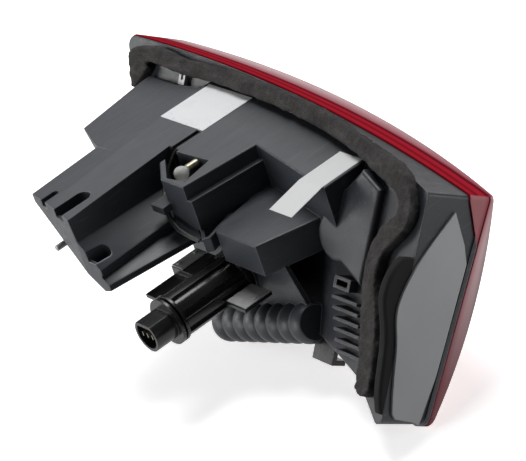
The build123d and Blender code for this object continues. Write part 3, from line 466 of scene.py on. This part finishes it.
def red_lens():
    """Clear red plastic: red bands and dark lines by the housing, then pale where light shows through."""
    shade = Shade("red lens")
    waver = shade.math("MULTIPLY", shade.noise(30, 3, 0.5), RED_WAVER)
    depth = shade.math("ADD", shade.face_depth(RED_FALL_X, RED_FALL_R), waver)
    layer = shade.span(depth, RED_DEPTH - RED_SPAN, RED_DEPTH + RED_SPAN)
    side = shade.ramp(layer, LENS_SIDE)

    height = shade.along(shade.face_place(), UP_RAKE)
    lean = shade.math("MULTIPLY", height, WELD_SLOPE)
    past_weld = shade.math("SUBTRACT", shade.along(shade.face_place(), OUT_RAKE), lean)
    end = shade.ramp(shade.span(past_weld, WELD_DEPTH - WELD_BEFORE, WELD_DEPTH + WELD_PAST), LENS_END)
    end = shade.mix(shade.span(height, LENS_LOW, LENS_HIGH, LENS_LOW_AMOUNT, 0.0), end, LENS_END_LOW)

    at_end = shade.span(shade.along(shade.normal(), X_AXIS), 0.6, 0.85)
    front = shade.span(shade.along(shade.normal(), OUT_RAKE), 0.45, 0.7)
    shade.colour(shade.mix(front, shade.mix(at_end, side, end), LENS_FRONT))
    shade.set(IOR=1.45)
    shade.join(shade.span(front, 0.0, 1.0, 0.0, 0.5), shade.shader.inputs["Specular IOR Level"])
    through_front = shade.math("MULTIPLY", front, LENS_FRONT_CLEAR)
    through_end = shade.math("MULTIPLY", at_end, LENS_END_CLEAR)
    through_side = shade.span(layer, 0.5, 0.64, 0.0, LENS_SIDE_CLEAR)
    clear = shade.math("MAXIMUM", through_side, shade.math("MAXIMUM", through_front, through_end))
    shade.join(clear, shade.shader.inputs["Transmission Weight"])
    shade.rough(shade.span(shade.noise(80, 4, 0.6), 0.3, 0.7, 0.12, 0.22))
    shade.bump(shade.noise(240, 3, 0.5), 0.0002, 0.2, edge=0.0012)
    return shade.material


def bright_metal():
    """Metallised reflector with fine vertical optics."""
    shade = Shade("bright metal")
    shade.colour(shade.ramp(shade.noise(60, 4, 0.6), [(0.3, (0.62, 0.62, 0.63)), (0.7, (0.8, 0.8, 0.8))]))
    shade.set(Metallic=1.0)
    shade.rough(shade.span(shade.noise(90, 4, 0.6), 0.3, 0.7, 0.12, 0.25))
    waves = shade.node("ShaderNodeTexWave")
    waves.inputs["Scale"].default_value = OPTICS_SCALE
    shade.join(shade.place(), waves.inputs["Vector"])
    shade.bump(waves.outputs["Fac"], 0.0009, 0.6)
    return shade.material


def metal(name, dark, light, rough_low, rough_high, grain, sheen):
    """Dull plated metal with grain and stains, its sheen from tarnished to bright."""
    shade = Shade(name)
    stain = shade.noise(260, 5, 0.65)
    shade.colour(shade.ramp(stain, [(0.3, dark), (0.7, light)]))
    shade.set(Metallic=sheen)
    shade.rough(shade.span(stain, 0.3, 0.7, rough_low, rough_high))
    shade.bump(shade.noise(grain, 3, 0.6, stretch=(1.0, 0.15, 1.0)), 0.0001, 0.5, edge=0.0003)
    return shade.material


def bulb_glass():
    """Clear glass, slightly frosted and dusty."""
    shade = Shade("bulb glass")
    film = shade.noise(180, 4, 0.6)
    shade.colour(shade.ramp(film, [(0.3, (0.86, 0.86, 0.83)), (0.75, (0.97, 0.97, 0.95))]))
    shade.set(IOR=1.3, Transmission_Weight=0.55)
    shade.rough(shade.span(film, 0.35, 0.7, 0.05, 0.2))
    return shade.material


def wire_sleeve():
    """Black wire sleeve with a soft sheen."""
    shade = Shade("wire sleeve")
    film = shade.noise(300, 4, 0.6)
    shade.colour(shade.ramp(film, [(0.3, (0.012, 0.012, 0.013)), (0.7, (0.03, 0.03, 0.032))]))
    shade.rough(shade.span(film, 0.3, 0.7, 0.28, 0.45))
    shade.bump(shade.noise(1500, 2, 0.5), 0.0001, 0.3)
    return shade.material


def label_paper():
    """Bare white paper, a little soiled: the square label scuffed round its border, the strip greyer."""
    shade = Shade("label paper")
    fibre = shade.noise(1200, 4, 0.6)
    soil = shade.noise(55, 6, 0.68)
    paper = shade.ramp(fibre, [(0.3, (0.72, 0.735, 0.745)), (0.7, (0.79, 0.805, 0.81))])
    across = shade.math("ABSOLUTE", shade.math("SUBTRACT", shade.along(shade.place(), X_AXIS), LABEL_X))
    ahead = shade.math("ABSOLUTE", shade.math("SUBTRACT", shade.along(shade.place(), Y_AXIS), LABEL_Y))
    reach = shade.math("MAXIMUM", across, ahead)
    beyond = shade.span(reach, LABEL_HALF + LABEL_PAST, LABEL_HALF + LABEL_PAST + LABEL_BLEND)
    border = shade.math("SUBTRACT", shade.span(reach, LABEL_HALF - LABEL_BORDER, LABEL_HALF), beyond)
    scuff = shade.math("MULTIPLY", border, shade.span(shade.noise(210, 6, 0.75), 0.55, 0.64))
    film = shade.math("MAXIMUM", shade.span(soil, 0.52, 0.75, 0.0, 0.3), shade.math("MULTIPLY", beyond, 0.5))
    soiled = shade.mix(film, paper, LABEL_SOIL)
    shade.colour(shade.mix(shade.math("MULTIPLY", scuff, 0.6), soiled, LABEL_SCUFF))
    shade.rough(shade.span(soil, 0.3, 0.7, 0.45, 0.65))
    shade.bump(shade.math("ADD", fibre, shade.math("MULTIPLY", soil, 2.0)), 0.0001, 0.4)
    return shade.material


def dress():
    """Gives every CAD piece its slot's material."""
    for name, piece in nodes.items():
        piece.data.materials.clear()
        piece.data.materials.append(materials[slot_of[name]])


def draw_out_end(mesh):
    """Draws the foam's outboard end out and down the seat."""
    for vertex in mesh.vertices:
        out = max(FOAM_END_X - vertex.co.x, 0.0)
        low = max(FOAM_END_UP - (vertex.co - FACE_POINT).dot(UP_RAKE), 0.0)
        vertex.co.x -= FOAM_END_OUT * out
        vertex.co -= UP_RAKE * (FOAM_END_DOWN * low * min(out / FOAM_END_REACH, 1.0))


def foam_strip():
    """The gasket as foam showing wear: rounded, lumpy and pitted, in the CAD strip's place."""
    source = nodes["foam_gasket"]
    rough = source.copy()
    rough.data = source.data.copy()
    bpy.context.collection.objects.link(rough)
    cells = rough.modifiers.new("cells", "REMESH")
    cells.mode = "VOXEL"
    cells.voxel_size = FOAM_CELL
    rounding = rough.modifiers.new("rounding", "SMOOTH")
    rounding.factor = FOAM_ROUNDING
    rounding.iterations = FOAM_ROUNDS
    for name, size, height in FOAM_RELIEF:
        pattern = bpy.data.textures.new(name, "CLOUDS")
        pattern.noise_scale = size
        push = rough.modifiers.new(name, "DISPLACE")
        push.texture = pattern
        push.texture_coords = "LOCAL"
        push.strength = height
    shaped = bpy.data.meshes.new_from_object(rough.evaluated_get(bpy.context.evaluated_depsgraph_get()))
    bpy.data.objects.remove(rough)
    draw_out_end(shaped)
    strip = bpy.data.objects.new("foam_strip", shaped)
    bpy.context.collection.objects.link(strip)
    strip.data.materials.clear()
    strip.data.materials.append(materials["foam"])
    for facet in strip.data.polygons:
        facet.use_smooth = True
    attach(strip, "root")
    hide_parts("foam_gasket")


def leads():
    """The two wires from the deck's slit to the box, as free cords in the CAD pair's place."""
    for name, shift in (("lead_left", (0, 0, 0)), ("lead_right", LEAD_SHIFT)):
        route = [Vector(place) + Vector(shift) for place in LEAD_ROUTE]
        line = bpy.data.curves.new(name, "CURVE")
        line.dimensions = "3D"
        line.bevel_depth = LEAD_R
        line.bevel_resolution = LEAD_ROUND
        line.use_fill_caps = True
        spline = line.splines.new("NURBS")
        spline.points.add(len(route) - 1)
        for point, place in zip(spline.points, route):
            point.co = (*place, 1.0)
        spline.order_u = LEAD_ORDER
        spline.use_endpoint_u = True
        spline.resolution_u = LEAD_STEPS
        wire = bpy.data.objects.new(name, line)
        bpy.context.collection.objects.link(wire)
        line.materials.append(materials["wire_sleeve"])
        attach(wire, "root")
        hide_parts("lead_pair")


def white_backdrop():
    """World that shows white, lights softly and reflects dimly."""
    world = bpy.data.worlds.new("studio")
    bpy.context.scene.world = world
    world.use_nodes = True
    tree = world.node_tree
    light = tree.nodes["Background"]
    light.inputs["Color"].default_value = (1.0, 1.0, 1.0, 1.0)
    path = tree.nodes.new("ShaderNodeLightPath")
    seen = tree.nodes.new("ShaderNodeMath")
    seen.operation = "MAXIMUM"
    tree.links.new(path.outputs["Is Camera Ray"], seen.inputs[0])
    tree.links.new(path.outputs["Is Transmission Ray"], seen.inputs[1])
    gloss = tree.nodes.new("ShaderNodeMapRange")
    tree.links.new(path.outputs["Is Glossy Ray"], gloss.inputs["Value"])
    gloss.inputs["To Min"].default_value = AMBIENT
    gloss.inputs["To Max"].default_value = GLOSS
    level = tree.nodes.new("ShaderNodeMapRange")
    tree.links.new(seen.outputs["Value"], level.inputs["Value"])
    tree.links.new(gloss.outputs["Result"], level.inputs["To Min"])
    level.inputs["To Max"].default_value = 1.0
    tree.links.new(level.outputs["Result"], light.inputs["Strength"])


def sun(name, towards, strength, spread):
    """Soft directional light that shines along a direction."""
    light = bpy.data.lights.new(name, "SUN")
    light.energy = strength
    light.angle = math.radians(spread)
    lamp = bpy.data.objects.new(name, light)
    lamp.rotation_euler = Vector(towards).to_track_quat("-Z", "Y").to_euler()
    bpy.context.collection.objects.link(lamp)


def soft_box(name, place, aim, power, size):
    """Square soft light at a place, aimed at a point."""
    light = bpy.data.lights.new(name, "AREA")
    light.energy = power
    light.size = size
    lamp = bpy.data.objects.new(name, light)
    lamp.location = place
    lamp.rotation_euler = (Vector(aim) - Vector(place)).to_track_quat("-Z", "Y").to_euler()
    bpy.context.collection.objects.link(lamp)


def floor():
    """Pale level floor just under the lamp, whose glow shows in reflections only near it."""
    low = cad_box[0][2] - FLOOR_GAP
    bpy.ops.mesh.primitive_plane_add(size=FLOOR_SIZE, location=(0, 0, low))
    plane = bpy.context.object
    plane.name = "floor"
    shade = Shade("floor")
    paper = shade.ramp(shade.noise(3, 2, 0.5), [(0.3, (0.955, 0.955, 0.955)), (0.7, (0.965, 0.965, 0.965))])
    path = shade.node("ShaderNodeLightPath")
    shade.colour(shade.mix(path.outputs["Is Camera Ray"], FLOOR_BOUNCE, paper))
    shade.set(Roughness=0.9, Specular_IOR_Level=0.0, Emission_Color=(1.0, 1.0, 1.0, 1.0))
    away = shade.node("ShaderNodeVectorMath", operation="LENGTH")
    shade.join(shade.place(), away.inputs[0])
    near = shade.span(away.outputs["Value"], FLOOR_NEAR, FLOOR_FAR, FLOOR_GLOW, 0.0)
    gloss = shade.math("MULTIPLY", path.outputs["Is Glossy Ray"], near)
    glow = shade.math("MAXIMUM", gloss, shade.math("MULTIPLY", path.outputs["Is Camera Ray"], FLOOR_GLOW))
    shade.join(glow, shade.shader.inputs["Emission Strength"])
    plane.data.materials.append(shade.material)


def camera():
    """Camera at the photograph's place, rolled as the photograph is."""
    data = bpy.data.cameras.new("photo camera")
    data.sensor_width = SENSOR_MM
    data.lens = FOCAL_PX / IMAGE_W * SENSOR_MM
    data.clip_end = CAMERA_REACH
    eye = bpy.data.objects.new("photo camera", data)
    back = CAMERA_RIGHT.cross(CAMERA_UP)
    turn = Matrix((CAMERA_RIGHT, CAMERA_UP, back)).transposed()
    eye.matrix_world = Matrix.Translation(CAMERA_PLACE) @ turn.to_4x4()
    bpy.context.collection.objects.link(eye)
    bpy.context.scene.camera = eye


materials = {
    "housing_plastic": housing_plastic(),
    "red_lens": red_lens(),
    "foam": foam(),
    "grey_trim": grey_trim(),
    "black_rubber": black_rubber(),
    "bright_metal": bright_metal(),
    "carrier_plastic": carrier_plastic(),
    "bulb_brass": metal(
        "bulb brass", dark=(0.3, 0.27, 0.21), light=(0.52, 0.48, 0.38),
        rough_low=0.25, rough_high=0.45, grain=900, sheen=1.0,
    ),
    "bulb_glass": bulb_glass(),
    "plain_steel": metal(
        "plain steel", dark=(0.42, 0.425, 0.42), light=(0.52, 0.52, 0.51),
        rough_low=0.4, rough_high=0.6, grain=1200, sheen=0.35,
    ),
    "wire_sleeve": wire_sleeve(),
    "label_paper": label_paper(),
}
camera()
leads()
dress()
foam_strip()
white_backdrop()
sun("key", KEY_TOWARDS, KEY_STRENGTH, KEY_SPREAD)
for box in SOFT_BOXES:
    soft_box(*box)
floor()
bpy.context.scene.view_settings.view_transform = "Standard"
